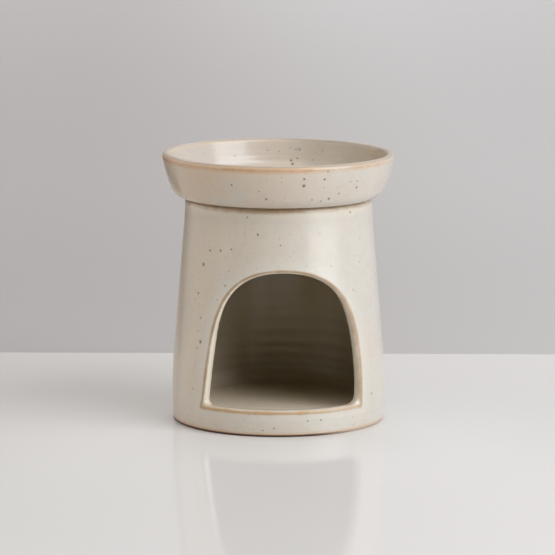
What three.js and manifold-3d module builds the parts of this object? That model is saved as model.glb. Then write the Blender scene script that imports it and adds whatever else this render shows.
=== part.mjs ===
// Wax melt burner in two loose pieces of glazed stoneware.
// The body is a tapered hollow cylinder with a closed floor, an open mouth and an arched window for a tealight.
// The dish holds the wax. It rests on the body's rim, and a ring under it drops into the mouth.
// Millimetres, +Z up. The origin is the middle of the foot, on the table, and the window faces -Y.

import * as THREE from "three";
import { mergeVertices } from "three/addons/utils/BufferGeometryUtils.js";
import Module from "manifold-3d";

const wasm = await Module();
wasm.setup();

// Facets round the axis of every turned surface
const FACETS = 72;

// The free gap between the dish and the rim that carries it
const SEAT_GAP = 0.3;

// Outside of the body: a straight taper that eases to upright at the foot and at the rim
const WALL = {
  radius: 46.85,
  radiusHeight: 31,
  taper: 0.085,
  footEaseHeight: 32,
  footEase: 0.0024,
  rimEaseHeight: 86,
  rimEase: 0.00275,
  thickness: 4.2,
};

const BODY = {
  rimHeight: 99.8,
  rimOuterRound: 1.6,
  rimInnerRound: 1.2,
  floorTop: 8.6,
  floorFillet: 6,
  footRound: 1.2,
  footRingWidth: 6.4,
  footInnerRound: 0.8,
  recessDepth: 1.6,
};

// The window's outer edge, unrolled from the wall: x is the arc length from the front line, y is the height.
// Each side is one cubic curve from the sill to the crown. The sides differ a little, as a hand-cut arch does.
const WINDOW = {
  sill: 10.5,
  crown: 73,
  left: { corner: -40.3, lower: [-34.5, 30.2], upper: -37.6 },
  right: { corner: 40, lower: [41.1, 35.5], upper: 37.9 },
  edgeRound: 1.4,
  outerCorner: 0.9,
  innerCorner: 4,
  innerWidening: 0.4,
};

const DISH = {
  lipHeight: 120,
  lipRound: 1.8,
  lipFlare: THREE.MathUtils.degToRad(9),
  baseFlare: THREE.MathUtils.degToRad(23),
  flatRadius: 41.6,
  cornerRound: 6.5,
  floorTop: 106.2,
  floorFillet: 6,
  ringOuter: 34.8,
  ringWidth: 4,
  ringHeight: 2.3,
  ringChamfer: 0.6,
  recessDepth: 0.8,
};

const GLAZE = { color: 0xc9beae, roughness: 0.4, metalness: 0 };

function wallRadius(height) {
  const belowFoot = Math.max(0, WALL.footEaseHeight - height);
  const aboveRim = Math.max(0, height - WALL.rimEaseHeight);
  return WALL.radius - WALL.taper * (height - WALL.radiusHeight)
    - WALL.footEase * belowFoot ** 2 + WALL.rimEase * aboveRim ** 2;
}

// Points of an arc in a lathe profile. Angles are in degrees from the outward radius, towards +Z.
function arc(centreRadius, centreHeight, radius, fromDegrees, toDegrees, steps) {
  const points = [];
  for (let step = 0; step <= steps; step += 1) {
    const angle = THREE.MathUtils.degToRad(THREE.MathUtils.lerp(fromDegrees, toDegrees, step / steps));
    points.push(new THREE.Vector2(
      centreRadius + radius * Math.cos(angle),
      centreHeight + radius * Math.sin(angle),
    ));
  }
  return points;
}

// Points of the wall's outside or inside between two heights, both ends included.
function wallLine(fromHeight, toHeight, inset, steps) {
  const points = [];
  for (let step = 0; step <= steps; step += 1) {
    const height = THREE.MathUtils.lerp(fromHeight, toHeight, step / steps);
    points.push(new THREE.Vector2(wallRadius(height) - inset, height));
  }
  return points;
}

// A closed mesh with shared vertices and no empty triangles, as a solid.
function toSolid(geometry) {
  geometry.deleteAttribute("normal");
  geometry.deleteAttribute("uv");
  const merged = mergeVertices(geometry, 1e-4);
  const triangles = [];
  for (let corner = 0; corner < merged.index.count; corner += 3) {
    const [a, b, c] = [0, 1, 2].map((offset) => merged.index.getX(corner + offset));
    if (a !== b && b !== c && c !== a) {
      triangles.push(a, b, c);
    }
  }
  return new wasm.Manifold(new wasm.Mesh({
    numProp: 3,
    vertProperties: new Float32Array(merged.attributes.position.array),
    triVerts: new Uint32Array(triangles),
  }));
}

function toGeometry(solid) {
  const mesh = solid.getMesh();
  const geometry = new THREE.BufferGeometry();
  geometry.setAttribute("position", new THREE.BufferAttribute(mesh.vertProperties, 3));
  geometry.setIndex(new THREE.BufferAttribute(mesh.triVerts, 1));
  geometry.computeVertexNormals();
  return geometry;
}

// A profile that starts and ends on the axis, turned about Z. Its first facet corner faces -Y.
function turned(profile) {
  const geometry = new THREE.LatheGeometry(profile, FACETS);
  geometry.rotateX(Math.PI / 2);
  return toSolid(geometry);
}

// The pot before its window is cut: recessed foot, outside wall, rounded rim, inside wall and floor.
function bodyProfile() {
  const footCentre = wallRadius(BODY.footRound) - BODY.footRound;
  const footInner = footCentre - BODY.footRingWidth;
  const outerRimHeight = BODY.rimHeight - BODY.rimOuterRound;
  const innerRimHeight = BODY.rimHeight - BODY.rimInnerRound;
  const innerRim = wallRadius(innerRimHeight) - WALL.thickness + BODY.rimInnerRound;
  const filletHeight = BODY.floorTop + BODY.floorFillet;
  const filletCentre = wallRadius(filletHeight) - WALL.thickness - BODY.floorFillet;
  return [
    new THREE.Vector2(0, BODY.recessDepth),
    new THREE.Vector2(footInner - BODY.footInnerRound, BODY.recessDepth),
    ...arc(footInner, BODY.footInnerRound, BODY.footInnerRound, 180, 270, 2),
    ...arc(footCentre, BODY.footRound, BODY.footRound, -90, -30, 2),
    ...wallLine(BODY.footRound, WALL.footEaseHeight, 0, 4),
    ...wallLine(WALL.rimEaseHeight, outerRimHeight, 0, 3),
    ...arc(wallRadius(outerRimHeight) - BODY.rimOuterRound, outerRimHeight, BODY.rimOuterRound, 30, 90, 2),
    ...arc(innerRim, innerRimHeight, BODY.rimInnerRound, 90, 180, 2),
    ...wallLine(WALL.rimEaseHeight, WALL.footEaseHeight, WALL.thickness, 1),
    ...arc(filletCentre, filletHeight, BODY.floorFillet, 0, -90, 4),
    new THREE.Vector2(0, BODY.floorTop),
  ];
}

// One side of the window's outline from sill to crown, moved inwards by inset, with its sill corner cut back.
function windowSide(side, inset, corner, steps) {
  const curve = new THREE.CubicBezierCurve(
    new THREE.Vector2(side.corner, WINDOW.sill),
    new THREE.Vector2(...side.lower),
    new THREE.Vector2(side.upper, WINDOW.crown),
    new THREE.Vector2(0, WINDOW.crown),
  );
  const inward = Math.sign(side.corner);
  const start = Math.max(0, corner + inset) / curve.getLength();
  const points = [];
  for (let step = 0; step <= steps; step += 1) {
    const along = THREE.MathUtils.lerp(start, 1, step / steps);
    const tangent = curve.getTangentAt(along);
    points.push(curve.getPointAt(along).add(
      new THREE.Vector2(-tangent.y, tangent.x).multiplyScalar(inset * inward),
    ));
  }
  return points;
}

// The closed outline of the window, anticlockwise from the middle of the sill, as seen from the front.
function windowOutline(inset, corner) {
  const sideSteps = 13;
  const cornerSteps = 3;
  const sillSteps = 8;
  const sillHeight = WINDOW.sill + inset;
  const halves = [WINDOW.right, WINDOW.left].map((side) => {
    const sidePoints = windowSide(side, inset, corner, sideSteps);
    const outermost = side.corner - Math.sign(side.corner) * inset;
    const sillEnd = new THREE.Vector2(outermost - Math.sign(side.corner) * corner, sillHeight);
    const bend = new THREE.QuadraticBezierCurve(
      sillEnd,
      new THREE.Vector2(outermost, sillHeight),
      sidePoints[0],
    );
    const sill = [];
    for (let step = 0; step < sillSteps; step += 1) {
      sill.push(new THREE.Vector2(0, sillHeight).lerp(sillEnd, step / sillSteps));
    }
    return [...sill, ...bend.getPoints(cornerSteps).slice(0, -1), ...sidePoints];
  });
  const [right, left] = halves;
  return [...right, ...left.slice(1, -1).reverse()];
}

// The space cut out for the window: outlines wrapped on the wall at growing depths and joined ring to ring.
// Its first rings flare, which rounds the window's outer edge.
function windowCutter() {
  const outsideReach = 30;
  const insideReach = 2.5;
  const clearOfWall = 0.5;
  const roundSteps = 3;
  const roundRings = [];
  for (let step = 1; step <= roundSteps; step += 1) {
    const angle = (Math.PI / 2) * (step / roundSteps);
    roundRings.push({
      depth: WINDOW.edgeRound * (1 - Math.cos(angle)),
      inset: WINDOW.edgeRound * Math.sin(angle),
      corner: THREE.MathUtils.lerp(WINDOW.outerCorner, WINDOW.innerCorner, Math.sin(angle)),
    });
  }
  const firstSlope = roundRings[0].depth / roundRings[0].inset;
  const flared = -clearOfWall / firstSlope;
  const rings = [
    { depth: -outsideReach, inset: flared, corner: WINDOW.outerCorner },
    { depth: -clearOfWall, inset: flared, corner: WINDOW.outerCorner },
    ...roundRings,
    {
      depth: WALL.thickness + insideReach,
      inset: WINDOW.edgeRound - WINDOW.innerWidening,
      corner: WINDOW.innerCorner,
    },
  ];
  const positions = [];
  const outlines = rings.map((ring) => windowOutline(ring.inset, ring.corner));
  rings.forEach((ring, number) => {
    outlines[number].forEach((point) => {
      const wall = wallRadius(point.y);
      const angle = point.x / wall;
      const radius = wall - ring.depth;
      positions.push(radius * Math.sin(angle), -radius * Math.cos(angle), point.y);
    });
  });
  const count = outlines[0].length;
  const triangles = [];
  for (let ring = 0; ring < rings.length - 1; ring += 1) {
    for (let point = 0; point < count; point += 1) {
      const next = (point + 1) % count;
      const [a, b] = [ring * count + point, ring * count + next];
      triangles.push(a, a + count, b + count, a, b + count, b);
    }
  }
  const lastRing = (rings.length - 1) * count;
  for (const [a, b, c] of THREE.ShapeUtils.triangulateShape(outlines[0], [])) {
    triangles.push(a, b, c);
  }
  for (const [a, b, c] of THREE.ShapeUtils.triangulateShape(outlines[rings.length - 1], [])) {
    triangles.push(lastRing + a, lastRing + c, lastRing + b);
  }
  const geometry = new THREE.BufferGeometry();
  geometry.setAttribute("position", new THREE.Float32BufferAttribute(positions, 3));
  geometry.setIndex(triangles);
  return toSolid(geometry);
}

// The dish in section. Corner, bowed wall and lip are arcs that meet smoothly, and the inside follows the outside.
function dishProfile() {
  const { lipRound, cornerRound, floorFillet, ringChamfer } = DISH;
  const underside = BODY.rimHeight + SEAT_GAP;
  const lipCentreHeight = DISH.lipHeight - lipRound;
  const cornerHeight = underside + cornerRound;
  const [sinBase, sinLip] = [Math.sin(DISH.baseFlare), Math.sin(DISH.lipFlare)];
  const [cosBase, cosLip] = [Math.cos(DISH.baseFlare), Math.cos(DISH.lipFlare)];
  const bow = (lipCentreHeight - cornerHeight + cornerRound * sinBase - lipRound * sinLip) / (sinBase - sinLip);
  const bowRadius = DISH.flatRadius - (bow - cornerRound) * cosBase;
  const bowHeight = cornerHeight + (bow - cornerRound) * sinBase;
  const lipCentre = bowRadius + (bow - lipRound) * cosLip;
  const innerBow = bow - 2 * lipRound;
  const filletHeight = DISH.floorTop + floorFillet;
  const filletSin = (bowHeight - filletHeight) / (innerBow - floorFillet);
  const filletCentre = bowRadius + (innerBow - floorFillet) * Math.sqrt(1 - filletSin ** 2);
  const [baseFlare, lipFlare, filletFlare] = [DISH.baseFlare, DISH.lipFlare, Math.asin(filletSin)]
    .map((angle) => THREE.MathUtils.radToDeg(angle));
  const ringBottom = underside - DISH.ringHeight;
  const ringInner = DISH.ringOuter - DISH.ringWidth;
  const recess = underside + DISH.recessDepth;
  return [
    new THREE.Vector2(0, recess),
    new THREE.Vector2(ringInner, recess),
    new THREE.Vector2(ringInner, ringBottom + ringChamfer),
    new THREE.Vector2(ringInner + ringChamfer, ringBottom),
    new THREE.Vector2(DISH.ringOuter - ringChamfer, ringBottom),
    new THREE.Vector2(DISH.ringOuter, ringBottom + ringChamfer),
    new THREE.Vector2(DISH.ringOuter, underside),
    ...arc(DISH.flatRadius, cornerHeight, cornerRound, -90, -baseFlare, 4),
    ...arc(bowRadius, bowHeight, bow, -baseFlare, -lipFlare, 3).slice(1),
    ...arc(lipCentre, lipCentreHeight, lipRound, -lipFlare, 90, 4).slice(1),
    ...arc(lipCentre, lipCentreHeight, lipRound, 90, 180 - lipFlare, 3).slice(1),
    ...arc(bowRadius, bowHeight, innerBow, -lipFlare, -filletFlare, 2).slice(1),
    ...arc(filletCentre, filletHeight, floorFillet, -filletFlare, -90, 4).slice(1),
    new THREE.Vector2(0, DISH.floorTop),
  ];
}

function piece(name, solid) {
  const mesh = new THREE.Mesh(toGeometry(solid), new THREE.MeshStandardMaterial(GLAZE));
  mesh.name = name;
  return mesh;
}

const burner = new THREE.Group();
burner.add(piece("burner_body", turned(bodyProfile()).subtract(windowCutter())));
burner.add(piece("melt_dish", turned(dishProfile())));

export default burner;
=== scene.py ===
"""A wax melt burner in two pieces of speckled stoneware, standing on a pale board.

The body is a tapered hollow pot with a closed floor and an arched window for the tealight. The dish for
the wax rests loose on its rim. Shapes are worked out in millimetres and stored in metres, and the finishes,
the stage and the lamps are in metres. +Z is up, and the window faces -Y.
"""

import bisect
import logging
import math
from collections.abc import Callable, Iterable
from dataclasses import dataclass, field
from enum import Enum

import bmesh
import bpy
from mathutils import Matrix, Vector, kdtree, noise

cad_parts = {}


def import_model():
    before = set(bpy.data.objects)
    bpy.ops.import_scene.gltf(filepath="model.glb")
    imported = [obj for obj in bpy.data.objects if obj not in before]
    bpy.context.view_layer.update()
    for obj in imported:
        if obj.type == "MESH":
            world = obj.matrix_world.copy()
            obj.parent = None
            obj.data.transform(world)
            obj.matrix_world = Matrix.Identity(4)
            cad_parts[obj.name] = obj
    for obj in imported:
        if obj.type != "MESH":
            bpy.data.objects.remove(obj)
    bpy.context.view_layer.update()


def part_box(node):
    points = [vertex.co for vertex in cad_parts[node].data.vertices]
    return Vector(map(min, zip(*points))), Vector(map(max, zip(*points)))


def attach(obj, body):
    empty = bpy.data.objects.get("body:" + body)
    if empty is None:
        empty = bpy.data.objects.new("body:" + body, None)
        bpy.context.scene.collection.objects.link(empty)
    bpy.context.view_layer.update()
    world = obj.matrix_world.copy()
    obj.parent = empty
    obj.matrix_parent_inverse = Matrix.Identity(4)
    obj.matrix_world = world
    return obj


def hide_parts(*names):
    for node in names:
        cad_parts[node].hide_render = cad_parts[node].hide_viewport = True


MM = 0.001
FULL_TURN = 2 * math.pi
DISH_GAP = 0.3
FAR_FROM_WINDOW = 60.0
GLAZE_MASKS = ("arch", "edge", "inside", "pool", "lip")

Colour = tuple[float, float, float, float]
Fade = tuple[float, float]
Triple = tuple[float, float, float]

log = logging.getLogger("wax_melt_burner")


def lerp(start: float, end: float, share: float) -> float:
    """The number that lies a share of the way from start to end."""
    return start + (end - start) * share


def clamp(value: float, low: float = 0.0, high: float = 1.0) -> float:
    """The value, kept between low and high."""
    return max(low, min(high, value))


def smooth(share: float) -> float:
    """A share from 0 to 1 that starts and ends gently."""
    share = clamp(share)
    return share * share * (3 - 2 * share)


def arc(centre: tuple[float, float], radius: float, start: float, end: float, steps: int) -> list[Vector]:
    """Points of an arc in a section.

    Args:
        centre: Radius and height of the arc's centre.
        radius: Radius of the arc.
        start: First angle in degrees, from the outward radius towards +Z.
        end: Last angle in degrees.
        steps: Number of equal steps between them.

    Returns:
        Points as (radius, height), both ends included.
    """
    angles = [math.radians(lerp(start, end, step / steps)) for step in range(steps + 1)]
    return [Vector((centre[0] + radius * math.cos(a), centre[1] + radius * math.sin(a))) for a in angles]


def straight(start: Vector, end: Vector, steps: int) -> list[Vector]:
    """Points of a straight run in a section, with the end but not the start."""
    return [start.lerp(end, step / steps) for step in range(1, steps + 1)]


def on_turn(angle: float, radius: float, height: float) -> Vector:
    """The place on a turned surface at an angle from the front line, positive to the right."""
    return Vector((radius * math.sin(angle), -radius * math.cos(angle), height))


def angle_of(place: Vector) -> float:
    """Angle of a place round the turning axis, measured from the front line."""
    return math.atan2(place.x, -place.y)


class CurveWalk:
    """A cubic curve in the plane that is walked by the share of its length."""

    SAMPLES = 400

    def __init__(self, knots: list[Vector]) -> None:
        """Measures the curve.

        Args:
            knots: Its start, two handles and end.
        """
        self.knots = knots
        self.lengths = [0.0]
        for step in range(self.SAMPLES):
            run = (self.place((step + 1) / self.SAMPLES) - self.place(step / self.SAMPLES)).length
            self.lengths.append(self.lengths[-1] + run)

    def place(self, t: float) -> Vector:
        """The point at parameter t."""
        a, b, c, d = self.knots
        u = 1 - t
        return a * u**3 + b * (3 * u * u * t) + c * (3 * u * t * t) + d * t**3

    def heading(self, t: float) -> Vector:
        """The unit direction of travel at parameter t."""
        a, b, c, d = self.knots
        u = 1 - t
        return ((b - a) * (u * u) + (c - b) * (2 * u * t) + (d - c) * (t * t)).normalized()

    @property
    def length(self) -> float:
        """Length of the whole curve."""
        return self.lengths[-1]

    def at(self, share: float) -> tuple[Vector, Vector]:
        """The point and the direction after a share of the curve's length."""
        target = clamp(share) * self.length
        index = clamp(bisect.bisect_left(self.lengths, target), 1, self.SAMPLES)
        before, after = self.lengths[index - 1], self.lengths[index]
        t = (index - 1 + (target - before) / (after - before)) / self.SAMPLES
        return self.place(t), self.heading(t)


class Nodes:
    """A material's node tree, with short calls that add nodes and link them."""

    def __init__(self, name: str) -> None:
        """Starts an empty material.

        Args:
            name: The material's name.
        """
        self.material = bpy.data.materials.new(name)
        self.material.use_nodes = True
        self.tree = self.material.node_tree
        self.tree.nodes.clear()

    def add(self, kind: str, inputs: dict | None = None, **settings: object) -> bpy.types.Node:
        """Adds a node.

        Args:
            kind: The node's type name.
            inputs: What goes into its sockets, by name or number: another socket, or a value.
            **settings: The node's own properties.

        Returns:
            The node.
        """
        node = self.tree.nodes.new(kind)
        for name, value in settings.items():
            setattr(node, name, value)
        for name, value in (inputs or {}).items():
            if isinstance(value, bpy.types.NodeSocket):
                self.tree.links.new(value, node.inputs[name])
            else:
                node.inputs[name].default_value = value
        return node

    def maths(self, operation: str, *values: object) -> bpy.types.NodeSocket:
        """The result of a calculation on up to three values."""
        return self.add("ShaderNodeMath", dict(enumerate(values)), operation=operation).outputs[0]

    def both(self, first: object, second: object) -> bpy.types.NodeSocket:
        """The product of two masks, or of a mask and a strength."""
        return self.maths("MULTIPLY", first, second)

    def vector(self, operation: str, *values: object) -> bpy.types.NodeSocket:
        """The result of a calculation on two vectors."""
        return self.add("ShaderNodeVectorMath", dict(enumerate(values)), operation=operation).outputs[0]

    def distance(self, where: object, centre: object) -> bpy.types.NodeSocket:
        """The distance of the coordinates from a point."""
        gap = self.add("ShaderNodeVectorMath", {0: where, 1: centre}, operation="DISTANCE")
        return gap.outputs["Value"]

    def fade(self, value: object, start: float, end: float) -> bpy.types.NodeSocket:
        """A smooth step of a value: 0 at start and 1 at end, which may be the lower of the two."""
        swapped = start > end
        low, high = (end, start) if swapped else (start, end)
        inputs = {"Value": value, "From Min": low, "From Max": high}
        inputs |= {"To Min": float(swapped), "To Max": float(not swapped)}
        return self.add("ShaderNodeMapRange", inputs, interpolation_type="SMOOTHSTEP").outputs["Result"]

    def mixed(self, share: object, first: object, second: object) -> bpy.types.NodeSocket:
        """A colour between two colours."""
        inputs = {0: share, 6: first, 7: second}
        return self.add("ShaderNodeMix", inputs, data_type="RGBA", clamp_factor=True).outputs[2]

    def blend(self, share: object, first: object, second: object) -> bpy.types.NodeSocket:
        """A number between two numbers."""
        return self.add("ShaderNodeMix", {0: share, 2: first, 3: second}, data_type="FLOAT").outputs[0]

    def noise(self, where: object, size: float, detail: float, stretch: Triple = (1, 1, 1)) -> object:
        """Soft noise from 0 to 1.

        Args:
            where: The coordinates.
            size: Size of its blots, in metres.
            detail: How many finer layers it has.
            stretch: Scale of the coordinates along each axis.

        Returns:
            The noise as a socket.
        """
        if stretch != (1, 1, 1):
            where = self.add("ShaderNodeMapping", {"Vector": where, "Scale": stretch}).outputs[0]
        inputs = {"Vector": where, "Scale": 1 / size, "Detail": detail, "Roughness": 0.55}
        return self.add("ShaderNodeTexNoise", inputs).outputs["Fac"]

    def moved(self, where: object, offset: Triple) -> bpy.types.NodeSocket:
        """Coordinates shifted by an offset, so that one pattern doesn't repeat another."""
        return self.add("ShaderNodeMapping", {"Vector": where, "Location": offset}).outputs[0]

    def attribute(self, name: str) -> bpy.types.NodeSocket:
        """A number stored on the piece's vertices."""
        return self.add("ShaderNodeAttribute", attribute_name=name).outputs["Fac"]


@dataclass(frozen=True)
class Blots:
    """Soft blots in the glaze: their size, where their noise fades in, and how strong they are."""

    size: float
    detail: float
    fade: Fade
    share: float
    offset: Triple = (0, 0, 0)
    stretch: Triple = (1, 1, 1)

    def mask(self, nodes: Nodes, where: object) -> bpy.types.NodeSocket:
        """The blots, from 0 between them to their share on them."""
        if any(self.offset):
            where = nodes.moved(where, self.offset)
        blots = nodes.noise(where, self.size, self.detail, self.stretch)
        return nodes.both(nodes.fade(blots, *self.fade), self.share)


@dataclass(frozen=True)
class SpeckSize:
    """Iron specks of one size, scattered evenly through the glaze.

    One speck lies in each cell of a pattern, and the share tells how many of the cells show it. in_front
    is how strong the specks stay where the larger spots are placed singly. A speck is from least_size
    times the radius in size, up to one radius more, and is full at its core and gone at its outer share.
    """

    spacing: float
    radius: float
    share: float
    strength: float
    in_front: float = 1.0
    least_size: float = 0.45
    outer: float = 1.25
    core: float = 0.5

    def mask(self, nodes: Nodes, where: object) -> bpy.types.NodeSocket:
        """The specks, from 0 between them to their strength on them."""
        cells = nodes.add("ShaderNodeTexVoronoi", {"Vector": where, "Scale": 1 / self.spacing})
        shades = nodes.add("ShaderNodeSeparateColor", {"Color": cells.outputs["Color"]})
        size = nodes.maths("ADD", shades.outputs[0], self.least_size)
        relative = nodes.maths("DIVIDE", cells.outputs["Distance"], size)
        reach = self.radius / self.spacing
        speck = nodes.fade(relative, reach * self.outer, reach * self.core)
        chosen = nodes.maths("LESS_THAN", shades.outputs[1], self.share)
        return nodes.both(nodes.both(speck, chosen), self.strength)


@dataclass(frozen=True)
class Reading:
    """What a glaze reads at a point of its piece, as sockets.

    seen is the piece's coordinates and where is the glaze's own. across, depth and height are the parts
    of seen. right is 1 on the right side, and sill is 1 along the window's sill. The rest are the masks
    stored on the vertices: arch is the distance from the window's outline in millimetres, positive on the
    outside, and edge is the distance from the nearest turned edge as a share of its reach.
    """

    seen: object
    where: object
    across: object
    depth: object
    height: object
    right: object
    sill: object
    arch: object
    edge: object
    inside: object
    pool: object
    lip: object


@dataclass(frozen=True)
class Glaze:
    """A satin off-white stoneware glaze with iron specks, brown where it runs thin over an edge.

    A fade holds where a mask is 0 and where it is full. Those of the sill, the crown, the band of painted
    light under the rim, the foot and the two sides are places in metres. The halo's and the jamb's are on
    the arch mask of Reading, and the break's and the core's are on the distance that from_break gives.
    """

    name: str
    offset: Triple
    spots: tuple[tuple[Vector, float], ...]
    flashed: Colour = (0.62, 0.545, 0.44, 1)
    cream: Colour = (0.595, 0.56, 0.505, 1)
    warm: Colour = (0.60, 0.52, 0.43, 1)
    cool: Colour = (0.565, 0.54, 0.485, 1)
    mottled: Colour = (0.53, 0.46, 0.375, 1)
    halo: Colour = (0.66, 0.64, 0.57, 1)
    # Thicker glaze on the window's cut face, with a painted highlight where the face catches the light.
    jamb: Colour = (0.74, 0.68, 0.57, 1)
    # The chamber's tone: thin glaze and soot, darkened further as painted shade.
    cave: Colour = (0.25, 0.19, 0.065, 1)
    # Painted light on the chamber's floor, as pale paint; the dish's own is a paler pool of glaze in its
    # bowl.
    pooled_and_painted_light: Colour = (0.96, 0.84, 0.68, 1)
    thin: Colour = (0.43, 0.295, 0.17, 1)
    thin_sill: Colour = (0.49, 0.325, 0.175, 1)
    thinnest: Colour = (0.29, 0.175, 0.085, 1)
    foot_thin: Colour = (0.58, 0.375, 0.23, 1)
    # The glaze's dark edge at the foot, darkened further as painted contact shade.
    foot_line_and_shade: Colour = (0.085, 0.042, 0.017, 1)
    iron: Colour = (0.125, 0.075, 0.033, 1)
    # Painted shade on the lip's top.
    lip_shade: Colour = (0.365, 0.30, 0.24, 1)
    clay: Colour = (0.46, 0.34, 0.23, 1)
    flash_across: Fade = (-0.05, 0.04)
    right_side: Fade = (0.0, 0.03)
    sill_across: Fade = (0.037, 0.033)
    sill_below: Fade = (0.0135, 0.0115)
    crown_above: Fade = (0.058, 0.068)
    # Where the paler band under the rim starts and ends: painted light that offsets the shade under the
    # dish.
    painted_light_band_start: Fade = (0.0935, 0.098)
    painted_light_band_end: Fade = (0.1004, 0.0996)
    foot_below: Fade = (0.006, 0.003)
    foot_line_below: Fade = (0.0013, 0.0008)
    foot_line_across: Fade = (0.012, 0.035)
    raw_below: Fade = (0.00008, 0.00004)
    front_half: Fade = (0.01, -0.005)
    indoors: Fade = (0.05, 0.3)
    patches: Blots = Blots(0.022, 4, (0.42, 0.66), 0.45)
    cooler: Blots = Blots(0.014, 3, (0.5, 0.68), 0.55, offset=(0.3, 0.1, 0.2))
    streaks: Blots = Blots(0.0011, 4, (0.55, 0.75), 0.24, stretch=(0.16, 0.16, 1.0))
    mottle: Blots = Blots(0.0035, 3, (0.45, 0.65), 0.2, offset=(0.9, 0.6, 0.1))
    ample: Blots = Blots(0.03, 2, (0.35, 0.6), 0.2, offset=(0.7, 0.2, 0.4))
    halo_grain: float = 0.006
    halo_wander: float = 5.0
    halo_reach: Fade = (11.0, 3.0)
    halo_share: float = 0.5
    jamb_back: Fade = (-6.0, -4.5)
    jamb_front: Fade = (-0.2, -0.8)
    jamb_share: float = 0.8
    jamb_share_on_sill: float = 0.05
    # Strength of the painted light under the rim.
    painted_light_band_share: float = 0.75
    break_middle: float = -0.4
    break_middle_sill: float = -0.1
    break_outside: float = 1.25
    break_outside_right: float = 1.5
    break_over_crown: float = 0.9
    break_below_sill: float = 1.1
    break_on_jamb: float = 0.8
    break_on_right_jamb: float = 1.9
    break_on_sill: float = 1.5
    break_grain: float = 0.005
    break_wander: float = 0.9
    break_fade: Fade = (1.05, 0.25)
    break_strength: float = 0.78
    paler_break_right: float = 0.2
    paler_sill_right: float = 0.32
    core_fade: Fade = (0.35, -0.1)
    core_strength: float = 0.45
    core_lost_on_sill: float = 0.6
    foot_line_lost_right: float = 0.8
    raggedness: float = 0.0006
    ragged_scale: float = 2200.0
    spot_strength: float = 0.8
    spot_edge: float = 1.3
    spot_core: float = 0.4
    specks_lost_inside: float = 0.8
    sizes: tuple[SpeckSize, ...] = (
        SpeckSize(0.0015, 0.00022, 0.40, 0.35),
        SpeckSize(0.0036, 0.00045, 0.40, 0.6, in_front=0.45),
        SpeckSize(0.0065, 0.00075, 0.40, 0.8, in_front=0.0),
    )
    roughness: float = 0.45
    roughness_change: float = 0.10
    roughness_of_clay: float = 0.45
    specular: float = 0.35
    coat_roughness: float = 0.22
    coat_lost: float = 0.9
    dull_sill: float = 0.8
    fine_grain: float = 0.0009
    fine_relief: float = 0.12
    ripple_grain: float = 0.0014
    ripple_stretch: Triple = (0.12, 0.12, 1.0)
    ripple_relief: float = 0.5
    swell_grain: float = 0.0035
    swell_relief: float = 0.7
    speck_relief: float = -0.25
    bump_strength: float = 0.35
    bump_height: float = 0.0002

    def read(self, nodes: Nodes) -> Reading:
        """Adds the nodes that tell the glaze where it is on the piece."""
        seen = nodes.add("ShaderNodeTexCoord").outputs["Object"]
        parts = nodes.add("ShaderNodeSeparateXYZ", {"Vector": seen})
        across, depth, height = (parts.outputs[axis] for axis in "XYZ")
        along_sill = nodes.fade(nodes.maths("ABSOLUTE", across), *self.sill_across)
        return Reading(
            seen=seen,
            where=nodes.moved(seen, self.offset),
            across=across,
            depth=depth,
            height=height,
            right=nodes.fade(across, *self.right_side),
            sill=nodes.both(nodes.fade(height, *self.sill_below), along_sill),
            **{name: nodes.attribute(name) for name in GLAZE_MASKS},
        )

    def body_colour(self, nodes: Nodes, at: Reading) -> bpy.types.NodeSocket:
        """The colour of the full glaze.

        Args:
            nodes: The material's nodes.
            at: What the glaze reads.

        Returns:
            The colour: warmer on the left, patchy, paler near the window, paler on its jamb with thicker
                glaze and a
            painted highlight, paler under the rim as painted light, and of another tone inside and on the
            lip, which is partly painted shade, with painted light on the chamber's floor.
        """
        tint = nodes.mixed(nodes.fade(at.across, *self.flash_across), self.flashed, self.cream)
        for blots, tone in (
            (self.patches, self.warm),
            (self.cooler, self.cool),
            (self.streaks, self.warm),
            (self.mottle, self.mottled),
        ):
            tint = nodes.mixed(blots.mask(nodes, at.where), tint, tone)
        wander = nodes.noise(at.where, self.halo_grain, 3)
        from_window = nodes.maths("MULTIPLY_ADD", wander, self.halo_wander, at.arch)
        outside = nodes.maths("GREATER_THAN", at.arch, 0.0)
        near = nodes.both(nodes.fade(from_window, *self.halo_reach), outside)
        tint = nodes.mixed(nodes.both(near, self.halo_share), tint, self.halo)
        # The jamb is paler: thicker glaze with a painted highlight where the cut face catches the light.
        on_jamb = nodes.both(nodes.fade(at.arch, *self.jamb_back), nodes.fade(at.arch, *self.jamb_front))
        paler = nodes.blend(at.sill, self.jamb_share, self.jamb_share_on_sill)
        tint = nodes.mixed(nodes.both(on_jamb, paler), tint, self.jamb)
        # A paler band just under the rim: painted light that offsets the shade under the dish.
        band_end = nodes.fade(at.height, *self.painted_light_band_end)
        painted_light_under_rim = nodes.both(nodes.fade(at.height, *self.painted_light_band_start), band_end)
        tint = nodes.mixed(nodes.both(painted_light_under_rim, self.painted_light_band_share), tint, self.jamb)
        # The tones inside: the chamber's darker tone, partly painted shade, and painted shade on the bowl's
        # right; then painted light on the chamber's floor and a paler pool of glaze in the bowl; then
        # painted shade on the dish's lip.
        for mask, tone in ((at.inside, self.cave), (at.pool, self.pooled_and_painted_light), (at.lip, self.lip_shade)):
            tint = nodes.mixed(mask, tint, tone)
        return tint

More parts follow.
